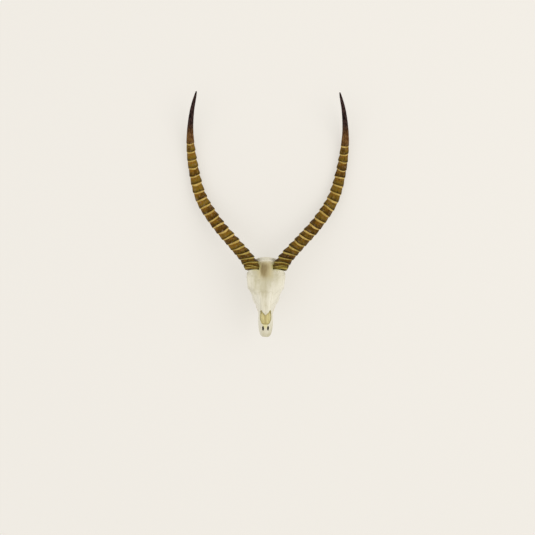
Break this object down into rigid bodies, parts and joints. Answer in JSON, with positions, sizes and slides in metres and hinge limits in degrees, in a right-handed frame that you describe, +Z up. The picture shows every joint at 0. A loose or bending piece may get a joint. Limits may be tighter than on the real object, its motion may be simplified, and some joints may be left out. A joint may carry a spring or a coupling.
{
  "type": "red lechwe skull",
  "caption": "Small antelope skull without its lower jaw, with two long ringed horns that sweep out, back and up, and its upper cheek teeth. It lies face up.",
  "frame": {"origin": "the middle of the underside of the whole part's box, at the height of the surface it lies on", "axes": "+Z is up from the surface, +Y runs from the snout to the tips of the horns, and +X is the animal's left side"},
  "size_m": [0.1074, 0.1604, 0.0324],
  "materials": {
    "bone": "dry cream-white bone with a faint green cast, fine lengthways streaks, an olive floor in the nose opening and a grey-brown stain between the horns",
    "horn": "dark olive-brown horn with fibrous lengthways grain, a pale yellow line under each ring's crest, and a smooth near-black tip",
    "tooth": "aged ivory enamel with brown-stained grooves and grinding face"
  },
  "bodies": {
    "root": {"cranium": "bone", "horn_left": "horn", "horn_right": "horn", "premolar_2_left": "tooth", "premolar_3_left": "tooth", "premolar_4_left": "tooth", "molar_1_left": "tooth", "molar_2_left": "tooth", "molar_3_left": "tooth", "premolar_2_right": "tooth", "premolar_3_right": "tooth", "premolar_4_right": "tooth", "molar_1_right": "tooth", "molar_2_right": "tooth", "molar_3_right": "tooth"}
  },
  "joints": []
}
